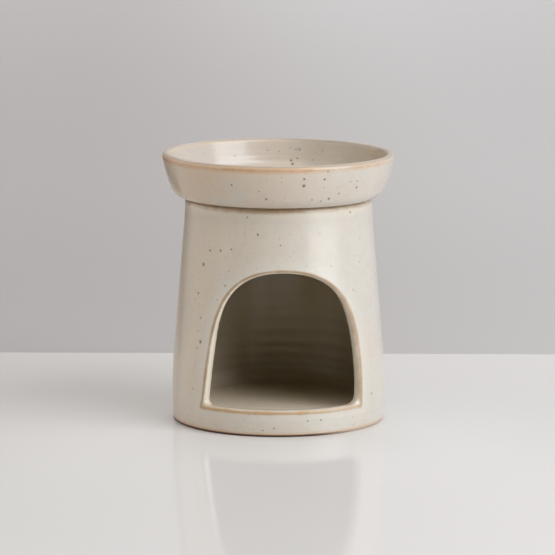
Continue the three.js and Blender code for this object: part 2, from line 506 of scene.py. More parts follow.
    def from_break(self, nodes: Nodes, at: Reading) -> bpy.types.NodeSocket:
        """How far a point lies from the nearest edge where the glaze breaks.

        Args:
            nodes: The material's nodes.
            at: What the glaze reads.

        Returns:
            The unsteady distance: about 0 on the edge and about 1 where the glaze is full again.
        """
        middle = nodes.blend(at.sill, self.break_middle, self.break_middle_sill)
        off_middle = nodes.maths("SUBTRACT", at.arch, middle)
        inward = nodes.blend(at.right, -self.break_on_jamb, -self.break_on_right_jamb)
        inward = nodes.blend(at.sill, inward, -self.break_on_sill)
        outward = nodes.blend(at.right, self.break_outside, self.break_outside_right)
        outward = nodes.blend(nodes.fade(at.height, *self.crown_above), outward, self.break_over_crown)
        outward = nodes.blend(at.sill, outward, self.break_below_sill)
        on_jamb = nodes.maths("DIVIDE", off_middle, inward)
        from_arch = nodes.maths("MAXIMUM", nodes.maths("DIVIDE", off_middle, outward), on_jamb)
        wander = nodes.noise(at.where, self.break_grain, 3)
        unsteady = nodes.maths("MULTIPLY_ADD", wander, self.break_wander, -self.break_wander / 2)
        return nodes.maths("ADD", nodes.maths("MINIMUM", from_arch, at.edge), unsteady)

    def broken(self, nodes: Nodes, at: Reading, from_break: object) -> bpy.types.NodeSocket:
        """How thin the glaze is: 0 where it is full, and up to 1 on the edges."""
        strength = nodes.maths("ADD", self.ample.mask(nodes, at.where), self.break_strength)
        paler = nodes.blend(at.sill, self.paler_break_right, self.paler_sill_right)
        strength = nodes.maths("SUBTRACT", strength, nodes.both(at.right, paler))
        return nodes.both(nodes.fade(from_break, *self.break_fade), strength)

    def foot_line_and_shade_mask(self, nodes: Nodes, at: Reading) -> bpy.types.NodeSocket:
        """The dark line where the body meets the board, the glaze's dark edge with painted contact shade,
        weaker towards the right.
        """
        to_right = nodes.fade(at.across, *self.foot_line_across)
        left_over = nodes.maths("MULTIPLY_ADD", to_right, -self.foot_line_lost_right, 1.0)
        return nodes.both(nodes.fade(at.height, *self.foot_line_below), left_over)

    def iron_mask(self, nodes: Nodes, at: Reading) -> bpy.types.NodeSocket:
        """The mask of all the specks and spots, with ragged outlines.

        In front, in the bowl and in the chamber the larger specks are left out and the medium ones are
        fewer, because the spots there are placed singly.

        Args:
            nodes: The material's nodes.
            at: What the glaze reads.

        Returns:
            0 on clear glaze and up to 1 in the middle of the darkest.
        """
        indoors = nodes.fade(nodes.maths("ADD", at.inside, at.pool), *self.indoors)
        placed_singly = nodes.maths("MAXIMUM", nodes.fade(at.depth, *self.front_half), indoors)
        inputs = {"Vector": at.where, "Scale": self.ragged_scale, "Detail": 2}
        ragged = nodes.add("ShaderNodeTexNoise", inputs)
        centred = nodes.vector("SUBTRACT", ragged.outputs["Color"], (0.5, 0.5, 0.5))
        pull = nodes.vector("MULTIPLY", centred, (self.raggedness,) * 3)
        scattered = nodes.vector("ADD", at.where, pull)
        placed = nodes.vector("ADD", at.seen, pull)
        masks = []
        for size in self.sizes:
            shown = nodes.maths("MULTIPLY_ADD", placed_singly, size.in_front - 1, 1.0)
            masks.append(nodes.both(size.mask(nodes, scattered), shown))
        for place, radius in self.spots:
            gap = nodes.distance(placed, place)
            blot = nodes.fade(gap, radius * self.spot_edge, radius * self.spot_core)
            masks.append(nodes.both(blot, self.spot_strength))
        mask = masks[0]
        for other in masks[1:]:
            mask = nodes.maths("MAXIMUM", mask, other)
        return mask

    def bump(self, nodes: Nodes, at: Reading, fine: object, iron: object) -> bpy.types.NodeSocket:
        """The surface's fine relief: ripples round the pot, soft swells, grain, and dips at the specks.

        Args:
            nodes: The material's nodes.
            at: What the glaze reads.
            fine: The glaze's finest grain.
            iron: The mask of the specks and spots.

        Returns:
            The bent normal.
        """
        ripple = nodes.noise(at.where, self.ripple_grain, 3, self.ripple_stretch)
        relief = nodes.both(ripple, self.ripple_relief)
        swell = nodes.noise(at.where, self.swell_grain, 2)
        for layer, amount in (
            (swell, self.swell_relief),
            (fine, self.fine_relief),
            (iron, self.speck_relief),
        ):
            relief = nodes.maths("MULTIPLY_ADD", layer, amount, relief)
        inputs = {"Strength": self.bump_strength, "Distance": self.bump_height, "Height": relief}
        return nodes.add("ShaderNodeBump", inputs).outputs["Normal"]

    def build(self) -> bpy.types.Material:
        """Makes the material.

        Returns:
            The material, which reads object coordinates and the vertex attributes named in GLAZE_MASKS.
        """
        nodes = Nodes(self.name)
        at = self.read(nodes)
        from_break = self.from_break(nodes, at)
        broken = self.broken(nodes, at, from_break)
        iron = self.iron_mask(nodes, at)
        # The dark foot line: the glaze's dark edge with painted contact shade.
        foot_line_and_shade = self.foot_line_and_shade_mask(nodes, at)
        foot = nodes.fade(at.height, *self.foot_below)
        raw = nodes.fade(at.height, *self.raw_below)
        fine = nodes.noise(at.where, self.fine_grain, 3)

        thin = nodes.mixed(at.sill, self.thin, self.thin_sill)
        thin = nodes.mixed(foot, thin, self.foot_thin)
        core = nodes.both(nodes.fade(from_break, *self.core_fade), self.core_strength)
        core = nodes.both(core, nodes.maths("MULTIPLY_ADD", at.sill, -self.core_lost_on_sill, 1.0))
        core = nodes.both(core, nodes.maths("SUBTRACT", 1.0, foot))
        specks = nodes.both(iron, nodes.maths("MULTIPLY_ADD", at.inside, -self.specks_lost_inside, 1.0))
        tint = self.body_colour(nodes, at)
        for mask, tone in (
            (broken, thin),
            (core, self.thinnest),
            (foot_line_and_shade, self.foot_line_and_shade),
            (specks, self.iron),
            (raw, self.clay),
        ):
            tint = nodes.mixed(mask, tint, tone)

        dull = nodes.maths("MAXIMUM", at.lip, foot_line_and_shade)
        dull = nodes.maths("MAXIMUM", dull, nodes.both(nodes.both(at.sill, broken), self.dull_sill))
        least = self.roughness - self.roughness_change / 2
        gloss = nodes.maths("MULTIPLY_ADD", fine, self.roughness_change, least)
        gloss = nodes.maths("MULTIPLY_ADD", raw, self.roughness_of_clay, gloss)
        surface = nodes.add("ShaderNodeBsdfPrincipled", {
            "Base Color": tint,
            "Roughness": gloss,
            "Normal": self.bump(nodes, at, fine, iron),
            "Specular IOR Level": self.specular,
            "Coat Weight": nodes.maths("MULTIPLY_ADD", dull, -self.coat_lost, 1.0),
            "Coat Roughness": self.coat_roughness,
        })
        nodes.add("ShaderNodeOutputMaterial", {"Surface": surface.outputs[0]})
        return nodes.material


@dataclass(frozen=True)
class Wall:
    """The body in section: a straight taper that eases upright at foot and rim, with a filleted floor."""

    radius: float = 46.85
    radius_height: float = 31.0
    taper: float = 0.085
    foot_ease_height: float = 32.0
    foot_ease: float = 0.0024
    rim_ease_height: float = 86.0
    rim_ease: float = 0.00275
    thickness: float = 4.2
    floor_top: float = 8.6
    floor_fillet: float = 6.0

    def outside(self, height: float) -> float:
        """Radius of the outside at a height."""
        below = max(0.0, self.foot_ease_height - height)
        above = max(0.0, height - self.rim_ease_height)
        straight_radius = self.radius - self.taper * (height - self.radius_height)
        return straight_radius - self.foot_ease * below**2 + self.rim_ease * above**2

    @property
    def fillet_height(self) -> float:
        """Height at which the floor's fillet meets the inside of the wall."""
        return self.floor_top + self.floor_fillet

    @property
    def fillet_radius(self) -> float:
        """Radius of the circle on which the floor's fillet meets the flat floor."""
        return self.outside(self.fillet_height) - self.thickness - self.floor_fillet

    @property
    def floor_run(self) -> float:
        """Run along the inside, on the scale of inside_at, at which the fillet meets the flat floor."""
        return self.fillet_height - self.floor_fillet * math.pi / 2

    def inside_at(self, run: float) -> tuple[float, float]:
        """The place on the inside after a run.

        Args:
            run: The height on the wall, and less than the fillet's height by the arc walked on the fillet.

        Returns:
            Radius and height.
        """
        if run >= self.fillet_height:
            return self.outside(run) - self.thickness, run
        turn = (self.fillet_height - run) / self.floor_fillet
        return (
            self.fillet_radius + self.floor_fillet * math.cos(turn),
            self.fillet_height - self.floor_fillet * math.sin(turn),
        )

    def run_of(self, height: float) -> float:
        """Run along the inside that reaches a height."""
        if height >= self.fillet_height:
            return height
        drop = clamp((self.fillet_height - height) / self.floor_fillet)
        return self.fillet_height - self.floor_fillet * math.asin(drop)


@dataclass(frozen=True)
class ArchSide:
    """One side of the window, unrolled from the wall: a cubic curve from the sill's corner to the crown.

    The window is wider on the inside of the wall, by one amount low on the side and by another higher up.
    The widening grows from nothing at the sill's corner and is gone again at the crown. The starts and runs
    are shares of the side's length.
    """

    corner: float
    lower: tuple[float, float]
    upper: float
    opens_low: float
    opens: float
    change_start: float = 0.3
    change_run: float = 0.2
    corner_run: float = 0.12
    crown_run: float = 0.3

    def opened(self, share: float) -> float:
        """How much wider the window is on the inside, after a share of the side's length."""
        changed = smooth((share - self.change_start) / self.change_run)
        most = lerp(self.opens_low, self.opens, changed)
        return most * smooth(share / self.corner_run) * smooth((1 - share) / self.crown_run)


@dataclass(frozen=True)
class Window:
    """The arched window, unrolled from the wall: x is the arc from the front line and y is the height."""

    sill: float = 10.5
    crown: float = 73.0
    left: ArchSide = ArchSide(-40.3, (-34.5, 30.2), -37.6, opens_low=0.35, opens=0.85)
    right: ArchSide = ArchSide(40.0, (41.1, 35.5), 37.9, opens_low=0.7, opens=0.7)
    edge_round: float = 1.4
    back_round: float = 0.5
    outer_corner: float = 0.9
    inner_corner: float = 4.0
    inner_widening: float = 0.4
    sill_steps: int = 46
    bend_steps: int = 6
    side_steps: int = 120
    edge_steps: int = 5
    back_steps: int = 4

    @property
    def straight_inset(self) -> float:
        """How far the cut face lies inside the outer outline where its back arris starts."""
        return self.edge_round - self.inner_widening

    @property
    def back_inset(self) -> float:
        """How far the outline on the inside of the wall lies inside the outer one."""
        return self.straight_inset - self.back_round

    def half(self, side: ArchSide, inset: float, corner: float, on_inside: bool) -> list[Vector]:
        """One half of the outline, from the middle of the sill up to the crown.

        Args:
            side: The side that the half follows.
            inset: Distance that the outline is moved into the opening.
            corner: Length cut back from the sill's corner for its bend.
            on_inside: Whether the outline is the one on the inside of the wall.

        Returns:
            Points in the unrolled plane.
        """
        inward = math.copysign(1, side.corner)
        knots = [(side.corner, self.sill), side.lower, (side.upper, self.crown), (0, self.crown)]
        walk = CurveWalk([Vector(knot) for knot in knots])
        start = max(0.0, corner + inset) / walk.length
        rise = []
        for step in range(self.side_steps + 1):
            share = lerp(start, 1, step / self.side_steps)
            place, heading = walk.at(share)
            moved = inset - side.opened(share) * on_inside
            rise.append(place + Vector((-heading.y, heading.x)) * (moved * inward))
        sill_height = self.sill + inset
        outermost = Vector((side.corner - inset * inward, sill_height))
        sill_end = outermost - Vector((corner * inward, 0))
        middle = Vector((0, sill_height))
        sill = [middle.lerp(sill_end, step / self.sill_steps) for step in range(self.sill_steps)]
        bend = []
        for step in range(self.bend_steps):
            share = step / self.bend_steps
            bend.append(sill_end.lerp(outermost, share).lerp(outermost.lerp(rise[0], share), share))
        return sill + bend + rise

    def outline(self, inset: float, corner: float, on_inside: bool = False) -> list[Vector]:
        """The closed outline, anticlockwise from the middle of the sill as seen from the front."""
        left = self.half(self.left, inset, corner, on_inside)
        return self.half(self.right, inset, corner, on_inside) + left[-2:0:-1]


def drawn_out(bm: bmesh.types.BMesh, edges: list, place: Callable) -> list:
    """Extrudes a ring of edges once.

    Args:
        bm: The mesh.
        edges: The ring's edges.
        place: Gives a new vertex its place.

    Returns:
        The new ring's edges.
    """
    made = bmesh.ops.extrude_edge_only(bm, edges=edges)["geom"]
    verts = {item for item in made if isinstance(item, bmesh.types.BMVert)}
    for vert in verts:
        vert.co = place(vert)
    return [item for item in made if isinstance(item, bmesh.types.BMEdge) and set(item.verts) <= verts]


def turned_on(bm: bmesh.types.BMesh, edges: list, section: Iterable[Vector]) -> list:
    """Extrudes a ring of edges along a section, each vertex keeping its angle round the axis.

    Args:
        bm: The mesh.
        edges: The ring's edges.
        section: The next points as (radius, height).

    Returns:
        The last ring's edges.
    """
    for radius, height in section:
        edges = drawn_out(bm, edges, lambda vert: on_turn(angle_of(vert.co), radius, height))
    return edges


def closed_at_pole(bm: bmesh.types.BMesh, edges: list) -> None:
    """Draws a ring of edges together on the turning axis."""
    verts = list({vert for edge in edges for vert in edge.verts})
    bmesh.ops.pointmerge(bm, verts=verts, merge_co=Vector((0, 0, verts[0].co.z)))


def open_ring(bm: bmesh.types.BMesh, test: Callable) -> list:
    """Edges with a face on one side only, whose two ends pass a test."""
    return [edge for edge in bm.edges if edge.is_boundary and all(test(vert) for vert in edge.verts)]


def finished_piece(bm: bmesh.types.BMesh, name: str, material: bpy.types.Material) -> bpy.types.Object:
    """Turns a mesh in millimetres into a smooth-shaded object in metres, at the origin.

    Args:
        bm: The mesh, which is freed.
        name: Name of the piece.
        material: Its finish.

    Returns:
        The object, linked into the scene.
    """
    bmesh.ops.recalc_face_normals(bm, faces=bm.faces)
    bmesh.ops.scale(bm, vec=Vector((MM, MM, MM)), verts=bm.verts)
    for face in bm.faces:
        face.smooth = True
    mesh = bpy.data.meshes.new(name)
    bm.to_mesh(mesh)
    bm.free()
    mesh.materials.append(material)
    piece = bpy.data.objects.new(name, mesh)
    bpy.context.scene.collection.objects.link(piece)
    log.info("%s: %d faces", name, len(mesh.polygons))
    return piece


@dataclass(frozen=True)
class Throwing:
    """The unevenness that a thrown pot keeps: out of round, spiral finger rings and a slightly wavy rim.

    The rings change over ring_change times their pitch, and wander by a share of it.
    """

    seed: float
    out_of_round: float = 0.16
    oval_share: float = 0.6
    drift_length: float = 60.0
    rim_wave: float = 0.12
    ring_change: float = 2.3
    ring_wander: float = 0.3
    ring_hollow: float = 0.35
    ring_depth: float = 0.65
    ring_depth_change: float = 0.5
    ring_patchiness: float = 1.7

    def drift(self, angle: float, height: float) -> float:
        """How far the clay stands off the true circle at a place."""
        spot = Vector((math.cos(angle), math.sin(angle), height / self.drift_length + self.seed))
        oval = math.sin(2 * angle + self.seed) * self.oval_share
        return self.out_of_round * (oval + noise.noise(spot))

    def wave(self, angle: float) -> float:
        """How far the rim stands above its true height."""
        return self.rim_wave * noise.noise(Vector((math.cos(angle), math.sin(angle), self.seed * 2)))

    def rings(self, angle: float, along: float, pitch: float) -> float:
        """Height, from about -1 to 1, of the rings that the fingers leave.

        Args:
            angle: Angle round the pot.
            along: Distance along the wall.
            pitch: Distance between one ring and the next.

        Returns:
            The ring's height at that place.
        """
        change = along / (self.ring_change * pitch) + self.seed * 3
        spot = Vector((math.cos(angle), math.sin(angle), change))
        turns = along / pitch - angle / FULL_TURN + self.ring_wander * noise.noise(spot)
        ridge = math.sin(FULL_TURN * turns) - self.ring_hollow * math.cos(2 * FULL_TURN * turns)
        patches = noise.noise(spot * self.ring_patchiness)
        return ridge * (self.ring_depth + self.ring_depth_change * patches)


@dataclass(frozen=True)
class GlazeBreak:
    """A circle round the pot on which the glaze runs thin, with the distance at which it is full again."""

    radius: float
    height: float
    reach: float

    def off(self, radius: float, height: float) -> float:
        """How far a point of the section lies from the circle, as a share of the reach."""
        return math.hypot(radius - self.radius, height - self.height) / self.reach


@dataclass(frozen=True)
class IronSpot:
    """A single larger iron spot: its angle from the front line in degrees, its height and its radius.

    It lies on the outside of its piece, or on the inside of the bowl's wall.
    """

    angle: float
    height: float
    radius: float
    inside: bool = False

    def place(self, from_axis: float) -> tuple[Vector, float]:
        """Its middle and radius in metres, at a distance from the turning axis."""
        return on_turn(math.radians(self.angle), from_axis, self.height) * MM, self.radius * MM


BODY_SPOTS = (
    IronSpot(-51.5, 73.5, 0.95),
    IronSpot(-46.5, 80, 0.65),
    IronSpot(-38.5, 80.5, 0.65),
    IronSpot(-31, 81.5, 0.45),
    IronSpot(-32, 72, 0.3),
    IronSpot(-21, 96, 0.4),
    IronSpot(-14.5, 88.5, 0.55),
    IronSpot(-1, 84, 0.45),
    IronSpot(4.5, 79, 0.35),
    IronSpot(-54.5, 60.5, 0.6),
    IronSpot(-57, 57.5, 0.4),
    IronSpot(-34, 65.5, 0.5),
    IronSpot(-39, 59, 0.35),
    IronSpot(-51, 50, 0.5),
    IronSpot(-50, 39.5, 0.9),
    IronSpot(-52.5, 36.5, 0.5),
    IronSpot(-55, 18, 0.4),
    IronSpot(-10.5, 3, 0.4),
    IronSpot(-4.5, 4, 0.45),
    IronSpot(13.5, 7, 0.45),
    IronSpot(21, 7, 0.5),
    IronSpot(58, 15, 0.55),
    IronSpot(76.5, 42, 0.5),
    IronSpot(46, 62.5, 0.35),
    IronSpot(30, 74, 0.35),
    IronSpot(53.5, 74, 0.3),
    IronSpot(47, 96.5, 0.55),
)
DISH_SPOTS = (
    IronSpot(10.5, 111, 0.85),
    IronSpot(10.5, 114, 0.6),
    IronSpot(21, 113.5, 0.6),
    IronSpot(22.5, 117, 0.45),
    IronSpot(15.5, 104.5, 0.4),
    IronSpot(20.5, 103.5, 0.45),
    IronSpot(25, 104.5, 0.65),
    IronSpot(30.5, 106.5, 0.5),
    IronSpot(41.5, 108.5, 0.6),
    IronSpot(41, 111.5, 0.4),
    IronSpot(36.5, 111.5, 0.35),
    IronSpot(-8.5, 105, 0.55),
    IronSpot(-12, 108.5, 0.35),
    IronSpot(-26, 111, 0.55),
    IronSpot(-61.5, 103, 0.45),
    IronSpot(-70, 102.5, 0.5),
    IronSpot(170.5, 110, 0.65, inside=True),
    IronSpot(169.5, 108.5, 0.75, inside=True),
    IronSpot(167, 111, 0.45, inside=True),
    IronSpot(168, 115, 0.4, inside=True),
    IronSpot(171, 115.5, 0.3, inside=True),
    IronSpot(177.5, 114, 0.35, inside=True),
    IronSpot(-176, 114.5, 0.4, inside=True),
    IronSpot(-157, 112.5, 0.4, inside=True),
    IronSpot(158, 110.5, 0.4, inside=True),
    IronSpot(152.5, 114.5, 0.35, inside=True),
    IronSpot(144.5, 117, 0.35, inside=True),
    IronSpot(129.5, 115.5, 0.35, inside=True),
)


@dataclass(frozen=True)
class ChamberTone:
    """How full the chamber's darker tone is: paler on its left, on its right and low down at its back.

    The darker tone is thin glaze and soot, deepened by painted shade, and its paler places are painted
    light.
    """

    painted_light_left: float = 0.68
    left_start: float = -2.0
    left_run: float = 24.0
    painted_light_right: float = 0.25
    right_start: float = 8.0
    right_run: float = 18.0
    painted_light_low_back: float = 0.26
    low_back_top: float = 19.0
    low_back_drop: float = 6.0
    low_back_middle: float = 2.0
    low_back_half_width: float = 28.0
    low_back_depth: float = 15.0
    pool_and_light_edge: float = 30.0
    lit_floor_slant: float = 0.6
    pool_and_light_run: float = 45.0

    def full(self, place: Vector) -> float:
        """Share of the darker tone at a place in the chamber."""
        left = clamp((self.left_start - place.x) / self.left_run)
        right = clamp((place.x - self.right_start) / self.right_run)
        low_back = clamp((self.low_back_top - place.z) / self.low_back_drop)
        low_back *= clamp(1 - abs(place.x - self.low_back_middle) / self.low_back_half_width)
        low_back *= clamp(place.y / self.low_back_depth)
        full = (1 - self.painted_light_left * left) * (1 - self.painted_light_right * right)
        return full * (1 - self.painted_light_low_back * low_back)

    def pooled_and_painted_light(self, place: Vector) -> float:
        """How much painted light lies as pale paint at a place on the floor: most at the front left."""
        return clamp((self.pool_and_light_edge - place.y - self.lit_floor_slant * place.x) / self.pool_and_light_run)


@dataclass
class BurnerBody:
    """The thrown body: wall, floor, turned foot and the window cut through the wall, as one welded skin."""

    rim_height: float
    wall: Wall = field(default_factory=Wall)
    window: Window = field(default_factory=Window)
    throwing: Throwing = field(default_factory=lambda: Throwing(seed=4.1))
    tone: ChamberTone = field(default_factory=ChamberTone)
    rim_outer_round: float = 1.6
    rim_inner_round: float = 1.2
    foot_round: float = 0.7
    foot_ring_width: float = 6.4
    foot_inner_round: float = 0.8
    recess_slope: float = 0.4
    recess_depth: float = 1.6
    pole_radius: float = 0.8
    weld: float = 0.01
    front_columns: int = 100
    back_columns: int = 140
    rows: int = 72
    rings: int = 22
    ring_crowding: float = 1.25
    smoothing_rounds: int = 8
    inside_ring_pitch: float = 5.7
    inside_ring_height: float = 0.095
    floor_ring_height: float = 0.05
    outside_ring_pitch: float = 3.1
    outside_ring_height: float = 0.045
    unmarked_edge: float = 2.0
    marks_fade_foot: float = 6.0
    marks_fade_rim: float = 5.0
    marks_fade_inside: float = 8.0
    marks_fade_middle: float = 6.0
    marks_fade_fillet: float = 5.0
    drift_full_radius: float = 30.0
    drift_full_height: float = 8.0
    rim_break: float = 2.3
    rim_break_in: float = 0.2
    rim_break_down: float = 0.4
    foot_break: float = 2.2
    foot_break_up: float = 0.3
    skin_depth: float = 0.02
    chamber_skin: float = 0.9
    mouth_margin: float = 1.5
    mouth_fade: float = 3.0
    floor_fade: float = 3.0

    @property
    def front_angle(self) -> float:
        """Angle each side of the front line that the pierced front panel covers."""
        return math.pi * self.front_columns / (self.front_columns + self.back_columns)

    def border(self, low: float, high: float) -> list[Vector]:
        """The front panel's rectangle, anticlockwise from the middle of its bottom, as (angle, run)."""
        across = self.front_columns // 2
        right = [Vector((self.front_angle * step / across, low)) for step in range(across)]
        for step in range(self.rows):
            right.append(Vector((self.front_angle, lerp(low, high, step / self.rows))))
        right += [Vector((self.front_angle * (1 - step / across), high)) for step in range(across + 1)]
        return right + [Vector((-point.x, point.y)) for point in right[-2:0:-1]]

    def front_panel(self, bm: bmesh.types.BMesh, hole: list[Vector], border: list[Vector]) -> list:
        """Adds the flat panel round the window, as rings from the window's outline out to the border.

        Args:
            bm: The mesh.
            hole: The window's outline, as (angle, run).
            border: The panel's border, with as many points.

        Returns:
            The panel's vertices, from the window outwards.
        """
        station = bm.verts.layers.int["station"]
        flat = self.wall.radius
        hoop = bmesh.ops.create_circle(bm, segments=len(hole), radius=1)["verts"]
        for number, vert in enumerate(hoop):
            vert[station] = number
            vert.co = (hole[number].x * flat, hole[number].y, 0)
        edges = list({edge for vert in hoop for edge in vert.link_edges})
        inner = []
        for ring in range(1, self.rings + 1):
            share = (ring / self.rings) ** self.ring_crowding

            def between(vert: bmesh.types.BMVert, share: float = share) -> Vector:
                """Place of a vertex between the window and the border."""
                point = hole[vert[station]].lerp(border[vert[station]], share)
                return Vector((point.x * flat, point.y, 0))

            edges = drawn_out(bm, edges, between)
            if ring < self.rings:
                inner += {vert for edge in edges for vert in edge.verts}
        for _ in range(self.smoothing_rounds):
            bmesh.ops.smooth_vert(bm, verts=inner, factor=0.5, use_axis_x=True, use_axis_y=True)
        outer = list({vert for edge in edges for vert in edge.verts})
        return list(hoop) + inner + outer

    def skin(
        self, bm: bmesh.types.BMesh, hole: list[Vector], low: float, high: float, surface: Callable
    ) -> None:
        """Adds one skin of the wall: a front panel round the window, and a plain panel round the back.

        Args:
            bm: The mesh.
            hole: The window's outline on this skin, as (angle, run).
            low: Run at the bottom of the skin.
            high: Run at its top.
            surface: Gives the radius and height at a run.
        """
        flat = self.wall.radius
        front = self.front_panel(bm, hole, self.border(low, high))
        grid = bmesh.ops.create_grid(
            bm, x_segments=self.back_columns, y_segments=self.rows, size=1
        )["verts"]
        for vert in grid:
            angle = lerp(self.front_angle, FULL_TURN - self.front_angle, (vert.co.x + 1) / 2)
            vert.co = (angle * flat, lerp(low, high, (vert.co.y + 1) / 2), 0)
        verts = front + grid
        for vert in verts:
            radius, height = surface(vert.co.y)
            vert.co = on_turn(vert.co.x / flat, radius, height)
        bmesh.ops.remove_doubles(bm, verts=verts, dist=self.weld)

    def jamb_rings(self) -> list[list[Vector]]:
        """Rings through the window's edge, from outside the wall to inside it, with both its arrises."""
        window, wall = self.window, self.wall
        places = []
        for step in range(1, window.edge_steps + 1):
            turn = math.pi / 2 * step / window.edge_steps
            inset = window.edge_round * math.sin(turn)
            corner = lerp(window.outer_corner, window.inner_corner, math.sin(turn))
            places.append((inset, corner, window.edge_round * (1 - math.cos(turn)), None))
        for step in range(window.back_steps + 1):
            turn = math.pi / 2 * step / window.back_steps
            inset = window.straight_inset - window.back_round * (1 - math.cos(turn))
            places.append((inset, window.inner_corner, None, window.back_round * (1 - math.sin(turn))))
        rings = []
        for inset, corner, depth, short_of_inside in places:
            ring = []
            for point in window.outline(inset, corner, on_inside=depth is None):
                outside = wall.outside(point.y)
                inside = wall.inside_at(wall.run_of(point.y))[0]
                radius = inside + short_of_inside if depth is None else outside - depth
                ring.append(on_turn(point.x / outside, radius, point.y))
            rings.append(ring)
        return rings

    def ring_near(self, bm: bmesh.types.BMesh, height: float) -> list:
        """The open ring of edges at a height."""
        return open_ring(bm, lambda vert: abs(vert.co.z - height) < self.weld)

    def rim_section(self) -> list[Vector]:
        """The rounded rim in section, from the outside of the wall to its inside."""
        outer_top = self.rim_height - self.rim_outer_round
        inner_top = self.rim_height - self.rim_inner_round
        centre = self.wall.outside(outer_top) - self.rim_outer_round
        inner_centre = self.wall.outside(inner_top) - self.wall.thickness + self.rim_inner_round
        section = arc((centre, outer_top), self.rim_outer_round, 0, 90, steps=6)[1:]
        return section + arc((inner_centre, inner_top), self.rim_inner_round, 90, 180, steps=5)

    def foot_section(self) -> list[Vector]:
        """The turned foot in section: rounded outer edge, flat ring, rounded inner edge and recess."""
        centre = self.wall.outside(self.foot_round) - self.foot_round
        inner = centre - self.foot_ring_width
        section = arc((centre, self.foot_round), self.foot_round, 0, -90, steps=6)[1:]
        section += straight(section[-1], Vector((inner, 0)), steps=3)
        section += arc((inner, self.foot_inner_round), self.foot_inner_round, 270, 180, steps=4)[1:]
        recess = Vector((inner - self.foot_inner_round - self.recess_slope, self.recess_depth))
        pole = Vector((self.pole_radius, self.recess_depth))
        return section + [recess] + straight(recess, pole, steps=12)

    def floor_section(self) -> list[Vector]:
        """The chamber's flat floor in section, from its fillet to the axis."""
        floor_edge = Vector((self.wall.fillet_radius, self.wall.floor_top))
        return straight(floor_edge, Vector((self.pole_radius, self.wall.floor_top)), steps=22)

    def shell(self) -> bmesh.types.BMesh:
        """The whole body as one closed mesh, in millimetres."""
        bm = bmesh.new()
        station = bm.verts.layers.int.new("station")
        wall, window = self.wall, self.window
        outer_top = self.rim_height - self.rim_outer_round

        outside_hole = window.outline(0, window.outer_corner)
        edge = [Vector((p.x / wall.outside(p.y), p.y)) for p in outside_hole]
        self.skin(bm, edge, self.foot_round, outer_top, lambda run: (wall.outside(run), run))

        low, high = self.foot_round + self.weld, outer_top - self.weld
        edges = open_ring(bm, lambda vert: low < vert.co.z < high)
        for ring in self.jamb_rings():
            edges = drawn_out(bm, edges, lambda vert: ring[vert[station]])

        inside_hole = window.outline(window.back_inset, window.inner_corner, on_inside=True)
        edge = [Vector((p.x / wall.outside(p.y), wall.run_of(p.y))) for p in inside_hole]
        self.skin(bm, edge, wall.floor_run, self.rim_height - self.rim_inner_round, wall.inside_at)

        turned_on(bm, self.ring_near(bm, outer_top), self.rim_section())
        closed_at_pole(bm, turned_on(bm, self.ring_near(bm, self.foot_round), self.foot_section()))
        closed_at_pole(bm, turned_on(bm, self.ring_near(bm, wall.floor_top), self.floor_section()))
        bmesh.ops.remove_doubles(bm, verts=bm.verts, dist=self.weld)
        return bm

    def measure(self, bm: bmesh.types.BMesh) -> None:
        """Notes on each vertex how far it lies from the edges where the glaze breaks, and its tones, which
        in the chamber are partly painted shade and painted light.

        Args:
            bm: The body's mesh, before its throwing marks are added.
        """
        arch, edge, inside, pool, _ = (bm.verts.layers.float.new(name) for name in GLAZE_MASKS)
        wall, top = self.wall, self.rim_height
        rim = GlazeBreak(wall.outside(top) - self.rim_break_in, top - self.rim_break_down, self.rim_break)
        foot = GlazeBreak(wall.outside(0), self.foot_break_up, self.foot_break)
        outline = self.window.outline(0, self.window.outer_corner)
        tree = kdtree.KDTree(len(outline))
        for number, point in enumerate(outline):
            outside = wall.outside(point.y)
            tree.insert(on_turn(point.x / outside, outside, point.y), number)
        tree.balance()
        for vert in bm.verts:
            radius, height = math.hypot(vert.co.x, vert.co.y), vert.co.z
            depth = wall.outside(height) - radius
            gap = tree.find(vert.co)[2]
            vert[arch] = gap if depth < self.skin_depth else -gap
            vert[edge] = min(rim.off(radius, height), foot.off(radius, height))
            in_chamber = clamp(height - wall.floor_top + 1)
            in_chamber *= clamp((top - self.mouth_margin - height) / self.mouth_fade)
            in_chamber *= clamp(depth - wall.thickness + self.chamber_skin)
            on_floor = clamp((wall.fillet_height - height) / self.floor_fade) * in_chamber
            # Painted light on the chamber's floor.
            vert[pool] = on_floor * self.tone.pooled_and_painted_light(vert.co)
            # The chamber's darker tone, partly painted shade, with painted light in its paler places.
            vert[inside] = in_chamber * self.tone.full(vert.co)

